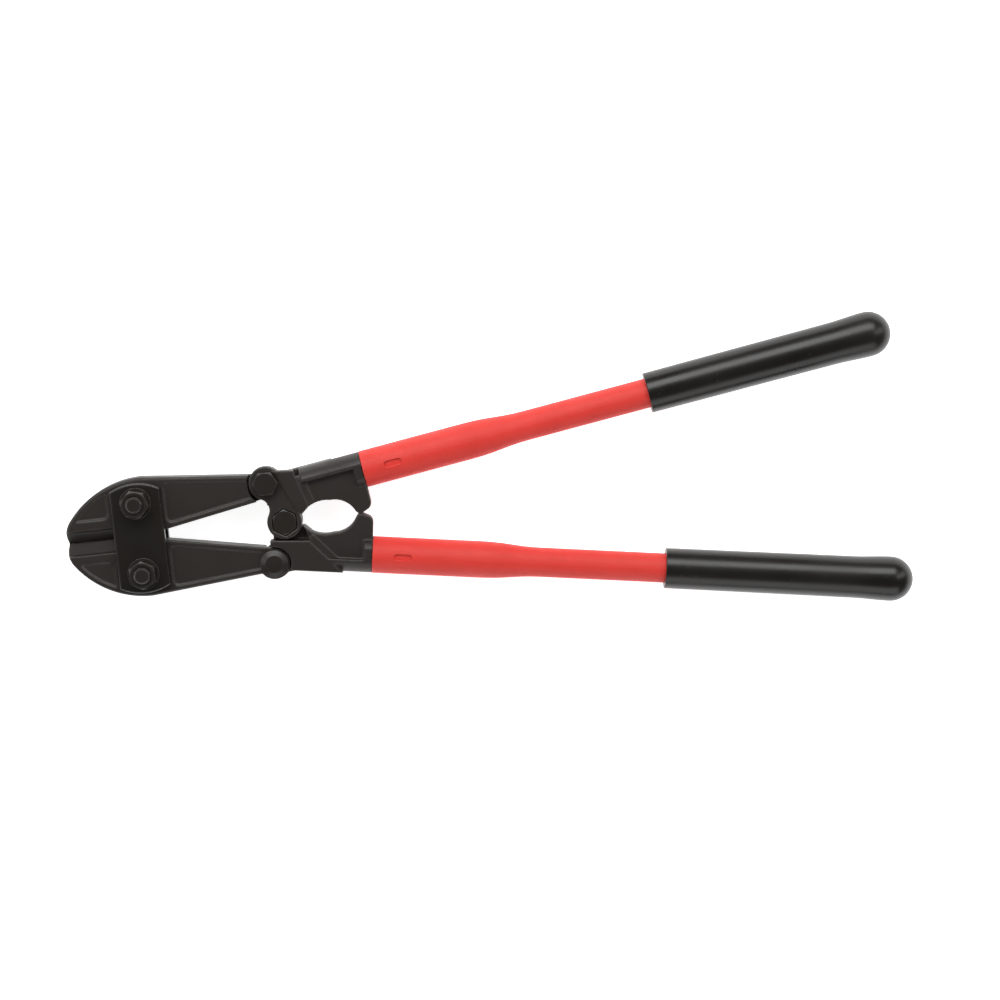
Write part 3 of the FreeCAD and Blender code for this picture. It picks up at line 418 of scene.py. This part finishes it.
@dataclass(frozen=True)
class PaintFinish:
    """Powder coat: saturated, with the soft dimpling of a baked coat, and edges lightened partly as
    rubbed wear and partly as painted highlight.
    """

    name: str
    colour: Colour
    deep: Colour
    # Colour of the edges: rubbed coat and painted highlight.
    rubbed_and_lit_edge: Colour
    smooth: float
    rough: float
    depth: float
    coat: float
    coat_rough: float = 0.3
    relief: float = 0.6
    smudge: float = 0.8
    edge_radius: float = 0.0004
    edge_gain: float = 2.2

    def build(self, shop: Workshop) -> bpy.types.Material:
        """Make the material.

        Args:
            shop: The shared groups.

        Returns:
            The material.
        """
        kit = FinishBuilder(self.name)
        skin = kit.group(shop.skin)
        peel = kit.nodes.new("ShaderNodeTexNoise")
        peel.inputs["Scale"].default_value = PEEL.scale
        peel.inputs["Detail"].default_value = PEEL.detail
        place = kit.nodes.new("ShaderNodeTexCoord")
        kit.link(place.outputs["Object"], peel.inputs["Vector"])
        hands = kit.group(shop.handling, Smudge=self.smudge)
        wear = kit.group(shop.wear, Radius=self.edge_radius, Gain=self.edge_gain)
        colour = kit.blend(skin.outputs["Patches"], self.colour, self.deep)
        # Painted highlight with wear: the edge mask lightens the edges towards that colour.
        kit.link(kit.blend(wear.outputs["Wear"], colour, self.rubbed_and_lit_edge),
                 kit.shader.inputs["Base Color"])
        kit.link(kit.shift(hands.outputs["Gloss"], self.smooth, self.rough),
                 kit.shader.inputs["Roughness"])
        kit.shader.inputs["Coat Weight"].default_value = self.coat
        kit.shader.inputs["Coat Roughness"].default_value = self.coat_rough
        kit.relief(peel.outputs["Fac"], self.relief, self.depth, wear.outputs["Normal"])
        return kit.material


@dataclass(frozen=True)
class VinylFinish:
    """Dipped vinyl: black, glossy where it is handled and a little uneven in its thickness."""

    name: str
    colour: Colour
    greyed: Colour
    dust: Colour
    smooth: float
    rough: float
    depth: float
    pits: float = 0.06
    waves: float = 0.5
    relief: float = 0.3
    dusty: float = 0.6
    specular: float = 0.45

    def build(self, shop: Workshop) -> bpy.types.Material:
        """Make the material.

        Args:
            shop: The shared groups.

        Returns:
            The material.
        """
        kit = FinishBuilder(self.name)
        skin = kit.group(shop.skin, Pits=self.pits, Waves=self.waves)
        hands = kit.group(shop.handling, Smudge=1.0, Dust=self.dusty)
        colour = kit.blend(hands.outputs["Gloss"], self.colour, self.greyed)
        kit.link(kit.blend(hands.outputs["Specks"], colour, self.dust),
                 kit.shader.inputs["Base Color"])
        kit.link(kit.shift(hands.outputs["Gloss"], self.smooth, self.rough),
                 kit.shader.inputs["Roughness"])
        kit.shader.inputs["Specular IOR Level"].default_value = self.specular
        kit.relief(skin.outputs["Height"], self.relief, self.depth)
        return kit.material


class Palette:
    """Every finish of the tool, built once."""

    def __init__(self) -> None:
        """Build the shared groups and all the finishes."""
        shop = Workshop()
        # The third colour of each steel finish and of the powder coat lightens its edges: partly
        # rubbed wear, partly painted highlight where the edges would catch the light.
        self.forged = SteelFinish(
            "forged_oxide", (0.0105, 0.0076, 0.0054, 1), (0.0180, 0.0136, 0.0100, 1),
            (0.36, 0.315, 0.26, 1), smooth=0.40, rough=0.54, pits=0.5, waves=0.5,
            depth=0.00012, edge_radius=0.0008, edge_gain=6.0).build(shop)
        self.strap = SteelFinish(
            "strap_oxide", (0.0070, 0.0054, 0.0040, 1), (0.0125, 0.0096, 0.0070, 1),
            (0.16, 0.14, 0.115, 1), smooth=0.24, rough=0.36, pits=0.3, waves=0.3,
            depth=0.00006, edge_radius=0.0006, edge_gain=1.8).build(shop)
        self.ground = SteelFinish(
            "ground_edge", (0.013, 0.0104, 0.0080, 1), (0.021, 0.0172, 0.0134, 1),
            (0.20, 0.18, 0.15, 1), smooth=0.34, rough=0.46, pits=0.35, waves=0.1,
            depth=0.00005, edge_radius=0.0004, edge_gain=1.4).build(shop)
        self.hardware = SteelFinish(
            "machined_oxide", (0.0100, 0.0076, 0.0056, 1), (0.0175, 0.0138, 0.0102, 1),
            (0.22, 0.20, 0.17, 1), smooth=0.28, rough=0.42, pits=0.22, waves=0.12,
            depth=0.00004, edge_radius=0.00045, edge_gain=2.4).build(shop)
        self.paint = PaintFinish(
            "red_powder_coat", (0.76, 0.038, 0.026, 1), (0.70, 0.032, 0.021, 1),
            (0.84, 0.12, 0.09, 1), smooth=0.54, rough=0.66, depth=0.0004, coat=0.03).build(shop)
        self.vinyl = VinylFinish(
            "dipped_vinyl", (0.0060, 0.0048, 0.0040, 1), (0.0105, 0.0085, 0.0070, 1),
            (0.16, 0.15, 0.14, 1), smooth=0.26, rough=0.36, depth=0.0001).build(shop)

    def for_forging(self, look: Look) -> bpy.types.Material:
        """The finish that a forging asks for.

        Args:
            look: What it asks for.

        Returns:
            Its material.
        """
        return {Look.FORGED: self.forged, Look.STRAP: self.strap}[look]

    def for_node(self, node: str, slot: str) -> bpy.types.Material:
        """The finish of a CAD node.

        Args:
            node: The node's name.
            slot: The record's material slot for it.

        Returns:
            Its material.
        """
        if "strap" in node:
            return self.strap
        return {Slot.FORGED.value: self.forged, Slot.HARDWARE.value: self.hardware,
                Slot.RED.value: self.paint, Slot.VINYL.value: self.vinyl}[slot]


# ------------------------------------------------------------------------------ modelling aids


def select_only(item: bpy.types.Object) -> None:
    """Make one object the only selected one, and the active one."""
    bpy.ops.object.select_all(action="DESELECT")
    item.select_set(True)
    bpy.context.view_layer.objects.active = item


def edit_faces(item: bpy.types.Object,
               wanted: Callable[[bpy.types.MeshPolygon], bool]) -> int:
    """Enter edit mode with only those faces selected that a test accepts.

    Args:
        item: The object.
        wanted: The test.

    Returns:
        How many faces are selected.
    """
    mesh = item.data
    for kind in (mesh.vertices, mesh.edges, mesh.polygons):
        kind.foreach_set("select", [False] * len(kind))
    for face in mesh.polygons:
        face.select = wanted(face)
    count = sum(face.select for face in mesh.polygons)
    select_only(item)
    bpy.ops.object.mode_set(mode="EDIT")
    bpy.ops.mesh.select_mode(type="FACE")
    return count


def edit_vertices(item: bpy.types.Object,
                  wanted: Callable[[bpy.types.MeshVertex], bool]) -> None:
    """Enter edit mode with only those vertices selected that a test accepts.

    Args:
        item: The object.
        wanted: The test.
    """
    mesh = item.data
    for kind in (mesh.vertices, mesh.edges, mesh.polygons):
        kind.foreach_set("select", [False] * len(kind))
    for vertex in mesh.vertices:
        vertex.select = wanted(vertex)
    select_only(item)
    bpy.ops.object.mode_set(mode="EDIT")
    bpy.ops.mesh.select_mode(type="VERT")


def apply_modifier(item: bpy.types.Object, kind: str, name: str, **settings: object) -> None:
    """Add a modifier, set it and apply it.

    Args:
        item: The object.
        kind: The modifier's type.
        name: The modifier's name.
        **settings: Its properties.
    """
    made = item.modifiers.new(name, kind)
    for key, value in settings.items():
        setattr(made, key, value)
    select_only(item)
    bpy.ops.object.modifier_apply(modifier=made.name)


def copy_of(node: str, name: str) -> bpy.types.Object:
    """A copy of a CAD node's mesh as one closed shell, ready to be worked on.

    Args:
        node: The CAD node.
        name: Name of the new piece.

    Returns:
        The new object, at the origin.
    """
    source = frame["nodes"][node]
    piece = bpy.data.objects.new(name, source.data.copy())
    bpy.context.collection.objects.link(piece)
    piece.data.materials.clear()
    select_only(piece)
    bpy.ops.object.mode_set(mode="EDIT")
    bpy.ops.mesh.select_all(action="SELECT")
    bpy.ops.mesh.remove_doubles(threshold=SAME)
    bpy.ops.mesh.customdata_custom_splitnormals_clear()
    bpy.ops.object.mode_set(mode="OBJECT")
    return piece


def settle(piece: bpy.types.Object, node: str, body: str) -> None:
    """Hand a finished piece over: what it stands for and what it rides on.

    Args:
        piece: The piece.
        node: The CAD node that it stands for.
        body: The body that it rides on.
    """
    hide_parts(node)
    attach(piece, body)
    log.info("%s: %d faces, rides on %s", piece.name, len(piece.data.polygons), body)


def body_of_node(node: str) -> str:
    """The record's body that holds a CAD node.

    Args:
        node: The node's name.

    Returns:
        The body's name.
    """
    bodies = frame["record"]["behaviour"]["bodies"]
    return next(body for body, nodes in bodies.items() if node in nodes)


# ----------------------------------------------------------------------------------- forgings


@dataclass
class Forging:
    """A forged piece: the CAD shape with its edges softened as a die and blasting leave them."""

    node: str
    grain: float = 0.42 * MM
    passes: int = 5
    look: Look = Look.FORGED

    def soften(self) -> bpy.types.Object:
        """Rebuild the shape as an even skin and ease its edges.

        Returns:
            The softened piece.
        """
        piece = copy_of(self.node, self.node + "_forging")
        apply_modifier(piece, "REMESH", "skin", mode="VOXEL", voxel_size=self.grain,
                       adaptivity=0.0)
        apply_modifier(piece, "SMOOTH", "ease", factor=0.5, iterations=self.passes)
        select_only(piece)
        bpy.ops.object.shade_smooth()
        return piece

    def build(self, palette: Palette) -> bpy.types.Object:
        """Make the piece and dress it.

        Args:
            palette: The finishes.

        Returns:
            The finished piece.
        """
        piece = self.soften()
        piece.data.materials.append(palette.for_forging(self.look))
        settle(piece, self.node, body_of_node(self.node))
        return piece


@dataclass
class Jaw(Forging):
    """A forged jaw whose cutting bevels are ground after forging, and are a little brighter."""

    bevel_width: float = 7.1 * MM
    bevel_lean: Tuple[float, float] = (0.35, 0.93)
    honed_gap: float = 0.04 * MM
    honed_reach: float = 0.75 * MM

    def soften(self) -> bpy.types.Object:
        """Ease the jaw's edges, then hone its cutting edge sharp again.

        Returns:
            The softened jaw.
        """
        piece = super().soften()
        low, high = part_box(self.node)
        side = 1 if low.y + high.y > 0 else -1
        middle = (low.z + high.z) / 2
        strap_low, strap_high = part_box("front_strap")
        rear = (strap_low.x + strap_high.x) / 2

        def is_edge(vertex: bpy.types.MeshVertex) -> bool:
            """Whether a vertex belongs to the cutting edge in front of the straps' middle."""
            return (abs(vertex.co.y) < self.honed_reach and vertex.co.x < rear
                    and abs(vertex.co.z - middle) < self.honed_reach)

        edit_vertices(piece, is_edge)
        bpy.ops.transform.resize(value=(1, 0, 1), center_override=(0, side * self.honed_gap, 0))
        bpy.ops.object.mode_set(mode="OBJECT")
        return piece

    def build(self, palette: Palette) -> bpy.types.Object:
        """Make the jaw and give its bevels their ground finish.

        Args:
            palette: The finishes.

        Returns:
            The finished jaw.
        """
        piece = super().build(palette)
        piece.data.materials.append(palette.ground)
        low, high = self.bevel_lean

        def is_ground(face: bpy.types.MeshPolygon) -> bool:
            """Whether a face leans as the bevels do and lies beside the cutting edge."""
            return abs(face.center.y) < self.bevel_width and low < abs(face.normal.z) < high

        ground = edit_faces(piece, is_ground)
        piece.active_material_index = 1
        bpy.ops.object.material_slot_assign()
        bpy.ops.object.mode_set(mode="OBJECT")
        log.info("%s: %d faces on its ground bevels", piece.name, ground)
        return piece


# ---------------------------------------------------------------------------------- jaw bolts


@dataclass
class JawBolt:
    """A jaw bolt whose end stands out of its nut with its thread showing."""

    half: Half
    pitch: float = 1.1 * MM
    root: float = 0.89
    tip: float = 0.79
    chamfer: float = 0.9 * MM
    below: float = 1.2 * MM

    def draw_thread(self, x: float, y: float, low: float, high: float) -> None:
        """Draw the selected face out into turns of thread and a chamfered tip, in edit mode.

        Args:
            x: The bolt's axis.
            y: The bolt's axis.
            low: Where the thread starts, inside the nut.
            high: The end of the bolt.
        """
        turns = round((high - self.chamfer - low) / self.pitch)
        step = (high - self.chamfer - low) / turns / 2
        scales = [self.root, 1 / self.root] * turns + [self.tip]
        steps = [step] * (2 * turns) + [self.chamfer]
        place = low
        for scale, rise in zip(scales, steps):
            place += rise
            bpy.ops.mesh.extrude_region_move(TRANSFORM_OT_translate={"value": (0, 0, rise)})
            bpy.ops.transform.resize(value=(scale, scale, 1), center_override=(x, y, place))

    def build(self, palette: Palette) -> bpy.types.Object:
        """Cut the plain bolt off inside its nut and draw its thread out of the cut.

        Args:
            palette: The finishes.

        Returns:
            The finished bolt.
        """
        node = self.half.word + "_jaw_bolt"
        low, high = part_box(node)
        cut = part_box(self.half.word + "_jaw_nut")[1].z - self.below
        piece = copy_of(node, node + "_threaded")
        bpy.ops.object.mode_set(mode="EDIT")
        bpy.ops.mesh.select_all(action="SELECT")
        bpy.ops.mesh.bisect(plane_co=(0, 0, cut), plane_no=(0, 0, 1), use_fill=True,
                            clear_outer=True)
        bpy.ops.object.mode_set(mode="OBJECT")
        caps = edit_faces(piece, lambda face: face.center.z > cut - SAME)
        self.draw_thread((low.x + high.x) / 2, (low.y + high.y) / 2, cut, high.z)
        bpy.ops.mesh.select_all(action="SELECT")
        bpy.ops.mesh.normals_make_consistent(inside=False)
        bpy.ops.object.mode_set(mode="OBJECT")
        bpy.ops.object.shade_smooth_by_angle(angle=FACET_ANGLE)
        piece.data.materials.append(palette.hardware)
        log.info("%s: thread drawn from %d face", piece.name, caps)
        settle(piece, node, body_of_node(node))
        return piece


# -------------------------------------------------------------------------------------- grips


@dataclass
class Grip:
    """A dipped grip: a rolled lip at its mouth, a slow swell and a round bulb at its end."""

    half: Half
    angle: float = 8.9
    length: float = 143.9 * MM
    bore: float = 8.55 * MM
    plug: float = 16.2 * MM
    mouth: float = 11.7 * MM
    swell: float = 12.1 * MM
    flare: float = 22.0 * MM
    lip: float = 0.4 * MM
    around: int = 56
    bulb_steps: int = 12
    flare_steps: int = 9

    def stations(self, bulb: float) -> List[Tuple[float, float]]:
        """The grip's section, from the floor of its bore round its mouth to its bulb.

        Args:
            bulb: Radius of the bulb.

        Returns:
            Distances from the mouth and radii.
        """
        centre = self.length - bulb
        inside = [(self.length - self.plug, self.bore), (self.length * 0.5, self.bore),
                  (self.lip * 2, self.bore), (self.lip * 0.5, self.bore + 0.1 * MM)]
        rolled = [(0.0, self.bore + 0.6 * MM), (0.0, self.mouth - self.lip),
                  (self.lip * 0.25, self.mouth - self.lip * 0.35), (self.lip, self.mouth),
                  (self.lip * 2.5, self.mouth), (self.lip * 6, self.mouth)]
        start = centre - self.flare
        body = [(start * share, self.mouth + (self.swell - self.mouth) * share)
                for share in (0.25, 0.5, 0.75, 1.0)]
        flare = []
        for index in range(1, self.flare_steps + 1):
            share = index / self.flare_steps
            ease = share * share * (3 - 2 * share)
            flare.append((start + self.flare * share, self.swell + (bulb - self.swell) * ease))
        dome = []
        for index in range(1, self.bulb_steps):
            turn = math.pi / 2 * index / self.bulb_steps
            dome.append((centre + bulb * math.sin(turn), bulb * math.cos(turn)))
        return inside + rolled + body + flare + dome

    def build(self, palette: Palette) -> bpy.types.Object:
        """Draw the section out ring by ring, close it and lay it on the handle.

        Args:
            palette: The finishes.

        Returns:
            The finished grip.
        """
        node = self.half.word + "_grip"
        low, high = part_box(node)
        bulb = (high.z - low.z) / 2
        side = self.half.value
        stations = self.stations(bulb)
        bpy.ops.object.select_all(action="DESELECT")
        bpy.ops.mesh.primitive_circle_add(
            vertices=self.around, radius=stations[0][1], fill_type="NOTHING",
            location=(stations[0][0], 0, 0), rotation=(0, math.pi / 2, 0))
        piece = bpy.context.object
        piece.name = node + "_dipped"
        bpy.ops.object.mode_set(mode="EDIT")
        bpy.ops.mesh.select_mode(type="VERT")
        for (here, radius), (there, wanted) in zip(stations, stations[1:]):
            bpy.ops.mesh.extrude_region_move(
                TRANSFORM_OT_translate={"value": (there - here, 0, 0)})
            scale = wanted / radius
            bpy.ops.transform.resize(value=(1, scale, scale), center_override=(there, 0, 0))
        bpy.ops.mesh.extrude_region_move(
            TRANSFORM_OT_translate={"value": (self.length - stations[-1][0], 0, 0)})
        bpy.ops.mesh.merge(type="CENTER")
        bpy.ops.mesh.select_all(action="DESELECT")
        bpy.ops.mesh.select_non_manifold()
        bpy.ops.mesh.edge_face_add()
        bpy.ops.mesh.select_all(action="SELECT")
        bpy.ops.mesh.normals_make_consistent(inside=False)
        bpy.ops.object.mode_set(mode="OBJECT")
        bpy.ops.object.transform_apply(location=True, rotation=True, scale=True)
        apply_modifier(piece, "SUBSURF", "round", levels=1, render_levels=1)
        tilt = math.radians(self.angle) * side
        direction = Vector((math.cos(tilt), math.sin(tilt), 0))
        bulb_y = (high.y - bulb) if side > 0 else (low.y + bulb)
        end = Vector((high.x - bulb, bulb_y, (high.z + low.z) / 2))
        start = end - direction * (self.length - bulb)
        piece.matrix_world = Matrix.Translation(start) @ Matrix.Rotation(tilt, 4, "Z")
        select_only(piece)
        bpy.ops.object.transform_apply(location=True, rotation=True, scale=True)
        bpy.ops.object.shade_smooth()
        piece.data.materials.append(palette.vinyl)
        settle(piece, node, body_of_node(node))
        return piece


# ------------------------------------------------------------------------------- whole object


@dataclass
class Cutters:
    """The whole tool: its forgings, bolts and grips, and the CAD nodes that stay as they are."""

    palette: Palette

    def dress_nodes(self) -> None:
        """Give every CAD node its finish."""
        slots: Dict[str, str] = {
            part["node"]: part["material_slot"] for part in frame["record"]["subparts"]}
        for name, item in frame["nodes"].items():
            finish = self.palette.for_node(name, slots[name])
            if not item.material_slots:
                item.data.materials.append(finish)
            for slot in item.material_slots:
                slot.material = finish
            log.info("%s: %s", name, finish.name)

    def build(self) -> None:
        """Dress the CAD nodes and add the remodelled pieces."""
        self.dress_nodes()
        for strap in ("front_strap", "rear_strap"):
            Forging(strap, grain=0.33 * MM, passes=4, look=Look.STRAP).build(self.palette)
        for half in Half:
            Jaw(half.word + "_jaw").build(self.palette)
            Forging(half.word + "_handle_head").build(self.palette)
            JawBolt(half).build(self.palette)
            Grip(half).build(self.palette)


# -------------------------------------------------------------------------------------- studio


@dataclass(frozen=True)
class Softbox:
    """One soft light: where it hangs, its size and its power."""

    name: str
    place: Tuple[float, float, float]
    size: Tuple[float, float]
    power: float

    def hang(self, target: Vector) -> None:
        """Hang the light, facing the target.

        Args:
            target: The point that it faces and that its place is counted from.
        """
        data = bpy.data.lights.new(self.name, "AREA")
        data.shape = "RECTANGLE"
        data.size, data.size_y = self.size
        data.energy = self.power
        lamp = bpy.data.objects.new(self.name, data)
        bpy.context.collection.objects.link(lamp)
        lamp.location = target + Vector(self.place)
        lamp.rotation_euler = (-Vector(self.place)).to_track_quat("-Z", "Y").to_euler()


@dataclass
class Studio:
    """A pale floor, soft lights and a camera that looks almost straight down."""

    azimuth: float = 189.4
    elevation: float = 84.27
    roll: float = -6.05
    distance: float = 1.601
    lens: float = 100.26
    aim: Tuple[float, float] = (0.0079, -0.0014)
    floor_side: float = 24.0
    floor_grey: float = 0.92
    floor_rough: float = 0.9
    floor_shine: float = 0.1
    sky: float = 0.12
    backdrop: float = 0.95
    glow: float = 0.86
    sight: Tuple[float, float] = (0.05, 60.0)
    lights: Sequence[Softbox] = (
        Softbox("far_side", (0.0, 1.0, 1.1), (1.8, 0.75), 21.0),
        Softbox("near_side", (0.0, -1.3, 0.7), (1.8, 0.9), 8.0),
        Softbox("left_side", (-1.3, 0.3, 0.9), (0.5, 1.4), 4.5),
        Softbox("right_side", (1.3, 0.3, 0.9), (0.5, 1.4), 4.5),
    )

    def floor(self) -> None:
        """Lay the floor that the tool rests on: a light table that fills the shadows."""
        bpy.ops.object.select_all(action="DESELECT")
        bpy.ops.mesh.primitive_plane_add(size=self.floor_side, location=(0, 0, 0))
        plane = bpy.context.object
        plane.name = "floor"
        kit = FinishBuilder("floor_paper")
        kit.shader.inputs["Base Color"].default_value = (self.floor_grey,) * 3 + (1,)
        kit.shader.inputs["Roughness"].default_value = self.floor_rough
        kit.shader.inputs["Specular IOR Level"].default_value = self.floor_shine
        kit.shader.inputs["Emission Color"].default_value = (1, 1, 1, 1)
        kit.shader.inputs["Emission Strength"].default_value = self.glow
        plane.data.materials.append(kit.material)

    def air(self) -> None:
        """Faint even light from all round, in front of a white backdrop."""
        world = bpy.data.worlds.new("tent")
        world.use_nodes = True
        nodes, links = world.node_tree.nodes, world.node_tree.links
        shade = nodes["Background"]
        shade.inputs["Color"].default_value = (1, 1, 1, 1)
        seen = nodes.new("ShaderNodeLightPath")
        strength = nodes.new("ShaderNodeMapRange")
        strength.inputs["To Min"].default_value = self.sky
        strength.inputs["To Max"].default_value = self.backdrop
        links.new(seen.outputs["Is Camera Ray"], strength.inputs["Value"])
        links.new(strength.outputs["Result"], shade.inputs["Strength"])
        bpy.context.scene.world = world

    def camera(self, height: float) -> None:
        """Place the camera.

        Args:
            height: Height of the tool's middle plane, which the camera aims at.
        """
        turn, rise, roll = (math.radians(v) for v in (self.azimuth, self.elevation, self.roll))
        back = Vector((math.sin(turn) * math.cos(rise), -math.cos(turn) * math.cos(rise),
                       math.sin(rise)))
        right = Vector((0, 1, 0)).cross(back).normalized()
        up = back.cross(right)
        right_rolled = right * math.cos(roll) + up * math.sin(roll)
        up_rolled = up * math.cos(roll) - right * math.sin(roll)
        data = bpy.data.cameras.new("camera")
        data.lens = self.lens
        data.clip_start, data.clip_end = self.sight
        camera = bpy.data.objects.new("camera", data)
        bpy.context.collection.objects.link(camera)
        turned = Matrix((right_rolled, up_rolled, back)).transposed().to_4x4()
        aim = Vector((self.aim[0], self.aim[1], height))
        camera.matrix_world = Matrix.Translation(aim + back * self.distance) @ turned
        bpy.context.scene.camera = camera

    def build(self) -> None:
        """Set up floor, air, lights and camera."""
        low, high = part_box("upper_handle_tube")
        self.floor()
        self.air()
        for light in self.lights:
            light.hang(Vector((0, 0, 0)))
        self.camera((low.z + high.z) / 2)
        view = bpy.context.scene.view_settings
        view.view_transform = "Standard"
        view.look = "None"


def main() -> None:
    """Build the tool and its studio."""
    logging.basicConfig(level=logging.INFO, format="%(name)s: %(message)s")
    Cutters(Palette()).build()
    Studio().build()


if __name__ == "__main__":
    main()
